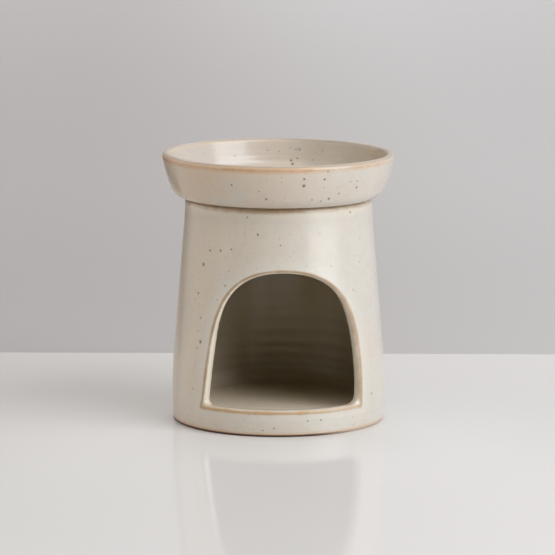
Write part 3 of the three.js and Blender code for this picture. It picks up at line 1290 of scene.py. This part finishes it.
    def settled(self, place: Vector) -> Vector:
        """The true place of a point of the skin once the throwing marks are added.

        Args:
            place: The point on the true turned shape.

        Returns:
            The point, moved along the radius, or up where it lies on the floor.
        """
        angle, radius, height = angle_of(place), math.hypot(place.x, place.y), place.z
        wall, marked_top = self.wall, self.rim_height - self.unmarked_edge
        half = wall.thickness / 2
        side = clamp((radius - wall.outside(height) + half) / half, -1, 1)
        if radius < wall.fillet_radius and height > self.recess_depth + 1:
            share = clamp(radius / self.marks_fade_middle)
            share *= clamp((wall.fillet_radius - radius) / self.marks_fade_fillet)
            lift = self.throwing.rings(angle, radius, self.inside_ring_pitch)
            return place + Vector((0, 0, self.floor_ring_height * lift * share))
        lift = 0.0
        if side > 0:
            share = clamp((height - self.unmarked_edge) / self.marks_fade_foot)
            share *= clamp((marked_top - height) / self.marks_fade_rim)
            lift = side * share * self.outside_ring_height
            lift *= self.throwing.rings(angle, height, self.outside_ring_pitch)
        elif radius > wall.fillet_radius:
            share = clamp((height - wall.floor_top) / self.marks_fade_inside)
            share *= clamp((marked_top - height) / self.marks_fade_inside)
            lift = side * share * self.inside_ring_height
            lift *= self.throwing.rings(angle, height, self.inside_ring_pitch)
        drift = self.throwing.drift(angle, height)
        drift *= clamp(radius / self.drift_full_radius) * clamp(height / self.drift_full_height)
        return on_turn(angle, radius + drift + lift, height)

    def glaze(self) -> Glaze:
        """The body's glaze, with the single iron spots on its outside."""
        spots = tuple(spot.place(self.wall.outside(spot.height)) for spot in BODY_SPOTS)
        return Glaze("body_glaze_finish", (0.0, 0.0, 0.0), spots)

    def build(self) -> bpy.types.Object:
        """Makes the body and dresses it in its glaze."""
        bm = self.shell()
        self.measure(bm)
        for vert in bm.verts:
            vert.co = self.settled(vert.co)
        return finished_piece(bm, "body_shell", self.glaze().build())


@dataclass(frozen=True)
class BowlTone:
    """The dish's tones: painted shade on the bowl's right, a paler pool of glaze on its left, and a dull
    band of painted shade on the lip.
    """

    painted_shade_strength: float = 0.96
    painted_shade_start: float = 2.0
    painted_shade_run: float = 42.0
    painted_shade_curve: float = 1.6
    pool_and_light_edge: float = 12.0
    pool_and_light_run: float = 30.0
    lip_tone: float = 0.85
    lip_drop_outside: float = 1.5
    lip_drop_left: float = 1.1
    lip_drop_right: float = 1.7
    lip_change_start: float = -5.0
    lip_change_run: float = 30.0

    def painted_shade_on_right(self, across: float) -> float:
        """How much painted shade the bowl has at a distance to the right of its middle."""
        return self.painted_shade_strength * clamp((across - self.painted_shade_start) / self.painted_shade_run) ** self.painted_shade_curve

    def pooled_and_painted_light(self, across: float) -> float:
        """How much thick glaze the bowl holds at a distance to the right of its middle."""
        return clamp((self.pool_and_light_edge - across) / self.pool_and_light_run)

    def lip(self, across: float, below_lip: float, on_outside: bool) -> float:
        """How full the lip's dull band of painted shade is.

        Args:
            across: Distance to the right of the middle.
            below_lip: Distance below the top of the lip.
            on_outside: Whether the place is on the outside of the lip.

        Returns:
            A share from 0 to the band's tone.
        """
        drop = self.lip_drop_outside
        if not on_outside:
            changed = smooth((across - self.lip_change_start) / self.lip_change_run)
            drop = lerp(self.lip_drop_left, self.lip_drop_right, changed)
        return self.lip_tone * clamp(drop - below_lip)


@dataclass
class MeltDish:
    """The loose dish: foot ring, flat underside, bowed wall, rounded lip and a bowl inside.

    It was thrown a little low on one side, so its lip dips there.
    """

    lip_height: float
    underside: float
    throwing: Throwing = field(default_factory=lambda: Throwing(seed=9.7, out_of_round=0.2, rim_wave=0.2))
    tone: BowlTone = field(default_factory=BowlTone)
    lip_round: float = 1.8
    lip_flare: float = math.radians(9)
    base_flare: float = math.radians(23)
    flat_radius: float = 41.6
    corner_round: float = 6.5
    floor_rise: float = 6.1
    floor_fillet: float = 6.0
    ring_outer: float = 34.8
    ring_width: float = 4.0
    ring_height: float = 2.3
    ring_round: float = 0.6
    recess_depth: float = 0.8
    low_side: float = math.radians(60)
    lower: float = 0.6
    facets: int = 240
    weld: float = 0.005
    floor_ring_pitch: float = 4.6
    floor_ring_height: float = 0.05
    wall_ring_pitch: float = 2.9
    wall_ring_height: float = 0.035
    marks_fade_middle: float = 5.0
    lip_break: float = 1.95
    lip_break_in: float = 0.2
    lip_break_down: float = 1.9
    bowl_top_margin: float = 0.5
    bowl_top_fade: float = 1.5
    bowl_bottom: float = 4.0
    bowl_bottom_fade: float = 2.0
    bowl_slope: float = 0.25
    bowl_skin: float = 2.0

    def section(self) -> list[Vector]:
        """The dish in section, from the axis under it, round the lip and back to the axis on its floor."""
        lip_centre_height = self.lip_height - self.lip_round
        corner_height = self.underside + self.corner_round
        sines = math.sin(self.base_flare), math.sin(self.lip_flare)
        rise = lip_centre_height - corner_height
        rise += self.corner_round * sines[0] - self.lip_round * sines[1]
        bow = rise / (sines[0] - sines[1])
        bow_radius = self.flat_radius - (bow - self.corner_round) * math.cos(self.base_flare)
        bow_height = corner_height + (bow - self.corner_round) * sines[0]
        lip_centre = bow_radius + (bow - self.lip_round) * math.cos(self.lip_flare)
        inner_bow = bow - 2 * self.lip_round
        floor_top = self.underside + self.floor_rise
        fillet_height = floor_top + self.floor_fillet
        fillet_flare = math.asin((bow_height - fillet_height) / (inner_bow - self.floor_fillet))
        fillet_centre = bow_radius + (inner_bow - self.floor_fillet) * math.cos(fillet_flare)
        base, lip, fillet = (math.degrees(a) for a in (self.base_flare, self.lip_flare, fillet_flare))

        section = self.underneath()
        section += arc((self.flat_radius, corner_height), self.corner_round, -90, -base, steps=12)[1:]
        section += arc((bow_radius, bow_height), bow, -base, -lip, steps=16)[1:]
        section += arc((lip_centre, lip_centre_height), self.lip_round, -lip, 180 - lip, steps=16)[1:]
        section += arc((bow_radius, bow_height), inner_bow, -lip, -fillet, steps=14)[1:]
        section += arc((fillet_centre, fillet_height), self.floor_fillet, -fillet, -90, steps=8)[1:]
        return section + straight(section[-1], Vector((0, floor_top)), steps=16)

    def underneath(self) -> list[Vector]:
        """The dish's underside in section: recess, foot ring with rounded arrises, and flat rest."""
        ring_bottom = self.underside - self.ring_height
        ring_inner = self.ring_outer - self.ring_width
        recess = self.underside + self.recess_depth
        soft = self.ring_round
        section = [Vector((0, recess))]
        section += straight(section[-1], Vector((ring_inner - soft, recess)), steps=6)
        section += arc((ring_inner - soft, recess - soft), soft, 90, 0, steps=3)[1:]
        section += arc((ring_inner + soft, ring_bottom + soft), soft, 180, 270, steps=3)
        section += arc((self.ring_outer - soft, ring_bottom + soft), soft, 270, 360, steps=3)
        section += arc((self.ring_outer + soft, self.underside - soft), soft, 180, 90, steps=3)
        return section + straight(section[-1], Vector((self.flat_radius, self.underside)), steps=3)

    def measure(self, bm: bmesh.types.BMesh, outermost: float) -> None:
        """Notes on each vertex how far it lies from the lip's outer edge, and the bowl's tones, which
        include painted shade on its right and on the lip.

        Args:
            bm: The dish's mesh, before its throwing marks are added.
            outermost: Radius of the lip.
        """
        arch, edge, inside, pool, lip_shade = (bm.verts.layers.float.new(name) for name in GLAZE_MASKS)
        break_height = self.lip_height - self.lip_break_down
        lip = GlazeBreak(outermost - self.lip_break_in, break_height, self.lip_break)
        for vert in bm.verts:
            radius = math.hypot(vert.co.x, vert.co.y)
            below_lip = self.lip_height - vert.co.z
            bowl_wall = outermost - 2 * self.lip_round - self.bowl_slope * below_lip
            in_bowl = clamp((below_lip - self.bowl_top_margin) / self.bowl_top_fade)
            in_bowl *= clamp((vert.co.z - self.underside - self.bowl_bottom) / self.bowl_bottom_fade)
            in_bowl *= clamp(bowl_wall - radius + self.bowl_skin)
            on_outside = radius >= outermost - self.lip_round
            vert[arch] = FAR_FROM_WINDOW
            vert[edge] = lip.off(radius, vert.co.z)
            # Painted shade on the bowl's right, and a paler pool of glaze on its left.
            vert[inside] = in_bowl * self.tone.painted_shade_on_right(vert.co.x)
            vert[pool] = in_bowl * self.tone.pooled_and_painted_light(vert.co.x)
            # Painted shade on the lip.
            vert[lip_shade] = self.tone.lip(vert.co.x, below_lip, on_outside)

    def settled(self, place: Vector) -> Vector:
        """The true place of a point of the skin once the throwing marks are added.

        Args:
            place: The point on the true turned shape.

        Returns:
            The point, moved along the radius and up or down, or only up or down on the floor.
        """
        angle, radius, height = angle_of(place), math.hypot(place.x, place.y), place.z
        floor_top = self.underside + self.floor_rise
        if radius < self.flat_radius and height > floor_top - 1:
            lift = self.floor_ring_height * self.throwing.rings(angle, radius, self.floor_ring_pitch)
            return place + Vector((0, 0, lift * clamp(radius / self.marks_fade_middle)))
        above = clamp((height - self.underside) / (self.lip_height - self.underside))
        drift = self.throwing.drift(angle, height) * above
        rings = self.throwing.rings(angle, height, self.wall_ring_pitch)
        lift = self.wall_ring_height * 4 * above * (1 - above) * rings
        rise = self.throwing.wave(angle) - self.lower * (1 + math.cos(angle - self.low_side)) / 2
        return on_turn(angle, radius + drift + lift, height + rise * above**2)

    def glaze(self) -> Glaze:
        """The dish's glaze: the body's, but warmer and with a paler break, with its own iron spots."""
        section = self.section()
        spots = []
        for spot in DISH_SPOTS:
            crossings = []
            for low, high in zip(section, section[1:]):
                if (low.y - spot.height) * (high.y - spot.height) < 0:
                    crossings.append(lerp(low.x, high.x, (spot.height - low.y) / (high.y - low.y)))
            crossings.sort()
            spots.append(spot.place(crossings[-2 if spot.inside else -1]))
        return Glaze(
            "dish_glaze_finish",
            (0.41, 0.17, 0.23),
            tuple(spots),
            flashed=(0.635, 0.50, 0.365, 1),
            cream=(0.60, 0.55, 0.485, 1),
            # Painted shade for the bowl's right side.
            cave=(0.38, 0.305, 0.205, 1),
            pooled_and_painted_light=(0.555, 0.497, 0.44, 1),
            thin=(0.60, 0.40, 0.24, 1),
            thinnest=(0.42, 0.235, 0.115, 1),
            core_strength=0.55,
            paler_break_right=0.5,
            coat_roughness=0.18,
        )

    def build(self) -> bpy.types.Object:
        """Turns the dish and dresses it in its glaze."""
        bm = bmesh.new()
        section = self.section()
        verts = [bm.verts.new(on_turn(0, point.x, point.y)) for point in section]
        edges = [bm.edges.new(pair) for pair in zip(verts, verts[1:])]
        bmesh.ops.spin(
            bm, geom=verts + edges, cent=(0, 0, 0), axis=(0, 0, 1), angle=FULL_TURN,
            steps=self.facets, use_merge=True,
        )
        bmesh.ops.remove_doubles(bm, verts=bm.verts, dist=self.weld)
        self.measure(bm, outermost=max(point.x for point in section))
        for vert in bm.verts:
            vert.co = self.settled(vert.co)
        return finished_piece(bm, "dish_shell", self.glaze().build())


@dataclass(frozen=True)
class PaintedLightPatch:
    """A round patch of painted light: paint that is paler towards its middle."""

    middle: Triple
    fade: Fade
    share: float

    def mask(self, nodes: Nodes, seen: object) -> bpy.types.NodeSocket:
        """How much paler the paint is."""
        return nodes.both(nodes.fade(nodes.distance(seen, self.middle), *self.fade), self.share)


@dataclass(frozen=True)
class PaintedShadeWedge:
    """A nearly black wedge of painted shade between two slanted lines, which the glaze mirrors on its left
    side.

    Each line is x plus its slant times y, and the paint fades in between the two values of it.
    """

    near_slant: float
    near_fade: Fade
    far_slant: float
    far_fade: Fade
    colour: Colour = (0.05, 0.05, 0.05, 1)

    def mask(self, nodes: Nodes, x: object, y: object) -> bpy.types.NodeSocket:
        """1 in the wedge and 0 outside it."""
        near = nodes.maths("MULTIPLY_ADD", y, self.near_slant, x)
        far = nodes.maths("MULTIPLY_ADD", y, self.far_slant, x)
        return nodes.both(nodes.fade(near, *self.near_fade), nodes.fade(far, *self.far_fade))


@dataclass(frozen=True)
class StagePaint:
    """A plain paint for the stage, with painted shade towards the left and over a range of depths, and with
    a painted light patch and a painted shade wedge where it has them.

    The paint changes from left to right over a reach each side of a line that the shift moves to the right.
    The shade holds the painted shade's strength, and the depths at which it starts and is full.
    """

    name: str
    left: Colour
    right: Colour
    roughness: float
    specular: float
    reach: float
    shade: Triple
    shift: float = 0.0
    painted_light: PaintedLightPatch | None = None
    shade_wedge: PaintedShadeWedge | None = None

    def build(self) -> bpy.types.Material:
        """Makes the material."""
        nodes = Nodes(self.name)
        seen = nodes.add("ShaderNodeTexCoord").outputs["Object"]
        parts = nodes.add("ShaderNodeSeparateXYZ", {"Vector": seen})
        across, depth = parts.outputs["X"], parts.outputs["Y"]
        # Painted shade: darker towards the left, and darker over a range of depths.
        lighter = nodes.fade(across, self.shift - self.reach, self.shift + self.reach)
        tint = nodes.mixed(lighter, self.left, self.right)
        amount, start, end = self.shade
        shaded = nodes.both(nodes.fade(depth, start, end), amount)
        tint = nodes.mixed(shaded, tint, (0, 0, 0, 1))
        # A patch of painted light, where the paint has one.
        if self.painted_light:
            tint = nodes.mixed(self.painted_light.mask(nodes, seen), tint, (1, 1, 1, 1))
        # A wedge of painted shade, where the paint has one.
        if self.shade_wedge:
            tint = nodes.mixed(self.shade_wedge.mask(nodes, across, depth), tint, self.shade_wedge.colour)
        surface = nodes.add("ShaderNodeBsdfPrincipled", {
            "Base Color": tint,
            "Roughness": self.roughness,
            "Specular IOR Level": self.specular,
        })
        nodes.add("ShaderNodeOutputMaterial", {"Surface": surface.outputs[0]})
        return nodes.material


@dataclass(frozen=True)
class Lamp:
    """A soft rectangular lamp, placed and sized by the part of the room that it fills from the burner.

    Its bearing is measured from the front line, positive to the right. All the angles are in degrees.
    """

    name: str
    bearing: float
    elevation: float
    half_width: float
    half_height: float
    brightness: float
    colour: Triple = (1.0, 1.0, 1.0)
    distance: float = 3.0

    def build(self, target: Vector) -> bpy.types.Object:
        """Hangs the lamp, facing a target."""
        bearing, elevation = math.radians(self.bearing), math.radians(self.elevation)
        flat = math.cos(elevation)
        towards = Vector((math.sin(bearing) * flat, -math.cos(bearing) * flat, math.sin(elevation)))
        light = bpy.data.lights.new(self.name, "AREA")
        light.shape = "RECTANGLE"
        light.size = 2 * self.distance * math.tan(math.radians(self.half_width))
        light.size_y = 2 * self.distance * math.tan(math.radians(self.half_height))
        light.energy = self.brightness * math.pi * light.size * light.size_y
        light.color = self.colour
        lamp = bpy.data.objects.new(self.name, light)
        lamp.location = target + towards * self.distance
        lamp.rotation_euler = towards.to_track_quat("Z", "Y").to_euler()
        lamp.visible_camera = False
        bpy.context.scene.collection.objects.link(lamp)
        return lamp


@dataclass(frozen=True)
class Air:
    """The studio's own dim light, brightest from behind the burner and to its right.

    The levels are its least and its most brightness, and the turns are how closely a direction agrees with
    the brightest one at those two levels.
    """

    brightest: Triple = (0.55, 0.78, 0.3)
    turns: Fade = (0.3, 1.0)
    levels: Fade = (0.04, 0.74)
    colour: Colour = (1.0, 0.97, 0.95, 1)

    def build(self) -> bpy.types.World:
        """Makes the world."""
        world = bpy.data.worlds.new("studio_air")
        world.use_nodes = True
        tree = world.node_tree
        direction = tree.nodes.new("ShaderNodeTexCoord")
        towards = tree.nodes.new("ShaderNodeVectorMath")
        towards.operation = "DOT_PRODUCT"
        towards.inputs[1].default_value = self.brightest
        level = tree.nodes.new("ShaderNodeMapRange")
        names = ("From Min", "From Max", "To Min", "To Max")
        for name, value in zip(names, self.turns + self.levels):
            level.inputs[name].default_value = value
        sky = tree.nodes["Background"]
        sky.inputs["Color"].default_value = self.colour
        tree.links.new(direction.outputs["Generated"], towards.inputs[0])
        tree.links.new(towards.outputs["Value"], level.inputs["Value"])
        tree.links.new(level.outputs["Result"], sky.inputs["Strength"])
        return world


@dataclass(frozen=True)
class Studio:
    """The pale board, the grey floor behind it, the lamps and the camera."""

    board_back: float = 0.155
    board_turn: float = math.radians(-3.25)
    board_front: float = 0.9
    board_half_width: float = 0.8
    board_thickness: float = 0.004
    # Painted shade towards the board's left and far side, and a patch of painted light in front of the
    # burner.
    board_paint: StagePaint = StagePaint(
        "board_paint",
        left=(0.612, 0.606, 0.597, 1),
        right=(0.705, 0.695, 0.696, 1),
        roughness=0.09,
        specular=0.10,
        reach=0.2,
        shade=(0.05, -0.3, 0.05),
        painted_light=PaintedLightPatch(middle=(0, -0.085, 0), fade=(0.19, -0.01), share=0.25),
    )
    floor_size: float = 14.0
    # Painted shade towards the floor's left and near the board, and a nearly black wedge of painted shade
    # far to the left.
    floor_paint: StagePaint = StagePaint(
        "floor_paint",
        left=(0.431, 0.414, 0.413, 1),
        right=(0.529, 0.517, 0.527, 1),
        roughness=0.9,
        specular=0.1,
        reach=0.17,
        shade=(0.065, 0.9, 0.3),
        shift=0.04,
        shade_wedge=PaintedShadeWedge(
            near_slant=0.05, near_fade=(-0.155, -0.185), far_slant=0.78, far_fade=(-0.14, -0.09)
        ),
    )
    aim_height: float = 0.0631
    aim_aside: float = -0.0004
    camera_distance: float = 1.536
    camera_height: float = 0.3119
    camera_bearing: float = -2.2
    lens: float = 225.76
    lamps: tuple[Lamp, ...] = (
        Lamp("key_lamp_low", 54, 13, 19, 17, 3.64, (0.98, 1.0, 1.03)),
        Lamp("key_lamp_high", 53, 42, 24, 15, 3.95, (0.98, 1.0, 1.01)),
        Lamp("front_lamp", -10, 50, 25, 15, 1.05, (1.0, 0.96, 0.90)),
        Lamp("left_lamp", -97, 27, 40, 29, 1.13, (1.0, 0.92, 0.86)),
        Lamp("overhead_lamp", 0, 82, 24, 24, 0.58, (1.0, 0.97, 1.0)),
    )
    back_lamp_place: Triple = (0, 3.0, 2.1)
    back_lamp_size: tuple[float, float] = (2.5, 2.0)
    back_lamp_brightness: float = 2.8
    air: Air = Air()

    def slab(
        self, name: str, low: Vector, high: Vector, paint: StagePaint, turn: float = 0.0
    ) -> bpy.types.Object:
        """A slab of the stage, in metres.

        Args:
            name: Name of the slab.
            low: Its lowest, leftmost and nearest corner.
            high: The opposite corner.
            paint: Its paint.
            turn: Angle that it is turned by about the burner's axis.

        Returns:
            The slab.
        """
        bm = bmesh.new()
        bmesh.ops.create_cube(bm, size=1)
        bmesh.ops.scale(bm, vec=high - low, verts=bm.verts)
        bmesh.ops.translate(bm, vec=(high + low) / 2, verts=bm.verts)
        bmesh.ops.rotate(bm, cent=(0, 0, 0), matrix=Matrix.Rotation(turn, 3, "Z"), verts=bm.verts)
        mesh = bpy.data.meshes.new(name)
        bm.to_mesh(mesh)
        bm.free()
        mesh.materials.append(paint.build())
        piece = bpy.data.objects.new(name, mesh)
        bpy.context.scene.collection.objects.link(piece)
        return piece

    def light_floor(self) -> None:
        """Hangs a lamp that shines straight down on the floor far behind the board."""
        width, depth = self.back_lamp_size
        light = bpy.data.lights.new("back_lamp", "AREA")
        light.shape = "RECTANGLE"
        light.size, light.size_y = width, depth
        light.energy = self.back_lamp_brightness * math.pi * width * depth
        lamp = bpy.data.objects.new("back_lamp", light)
        lamp.location = self.back_lamp_place
        lamp.visible_camera = False
        bpy.context.scene.collection.objects.link(lamp)

    def camera(self) -> bpy.types.Object:
        """Stands the camera at the photograph's viewing angle."""
        bearing = math.radians(self.camera_bearing)
        eye = on_turn(bearing, self.camera_distance, self.camera_height)
        aside = Vector((math.cos(bearing), math.sin(bearing), 0)) * self.aim_aside
        aim = Vector((0, 0, self.aim_height)) + aside
        data = bpy.data.cameras.new("camera")
        data.lens = self.lens
        data.sensor_width = 36
        data.clip_start, data.clip_end = 0.05, 40
        camera = bpy.data.objects.new("camera", data)
        camera.location = eye
        camera.rotation_euler = (eye - aim).to_track_quat("Z", "Y").to_euler()
        bpy.context.scene.collection.objects.link(camera)
        bpy.context.scene.camera = camera
        return camera

    def build(self) -> None:
        """Sets the stage and lights it."""
        thickness, reach = self.board_thickness, self.floor_size / 2
        self.slab(
            "pale_board",
            Vector((-self.board_half_width, -self.board_front, -thickness)),
            Vector((self.board_half_width, self.board_back, 0)),
            self.board_paint,
            self.board_turn,
        )
        self.slab(
            "grey_floor",
            Vector((-reach, -reach, -2 * thickness)),
            Vector((reach, reach, -thickness)),
            self.floor_paint,
        )
        for lamp in self.lamps:
            lamp.build(Vector((0, 0, self.aim_height)))
        self.light_floor()
        bpy.context.scene.world = self.air.build()
        bpy.context.scene.view_settings.view_transform = "Standard"


class Rider(Enum):
    """The CAD node that each piece stands for, with the body it rides on and its material slot."""

    BODY = ("burner_body", "burner", "body_glaze")
    DISH = ("melt_dish", "dish", "dish_glaze")

    def take(self, piece: bpy.types.Object) -> None:
        """Makes a piece ride on the body and stand for the node."""
        node, body, slot = self.value
        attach(piece, body)
        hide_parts(node)


def main() -> None:
    """Builds the stage and the two pieces."""
    logging.basicConfig(level=logging.INFO)
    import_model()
    rim_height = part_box("burner_body")[1].z / MM
    lip_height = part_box("melt_dish")[1].z / MM

    studio = Studio()
    studio.camera()
    studio.build()

    Rider.BODY.take(BurnerBody(rim_height).build())
    Rider.DISH.take(MeltDish(lip_height, underside=rim_height + DISH_GAP).build())


if __name__ == "__main__":
    main()
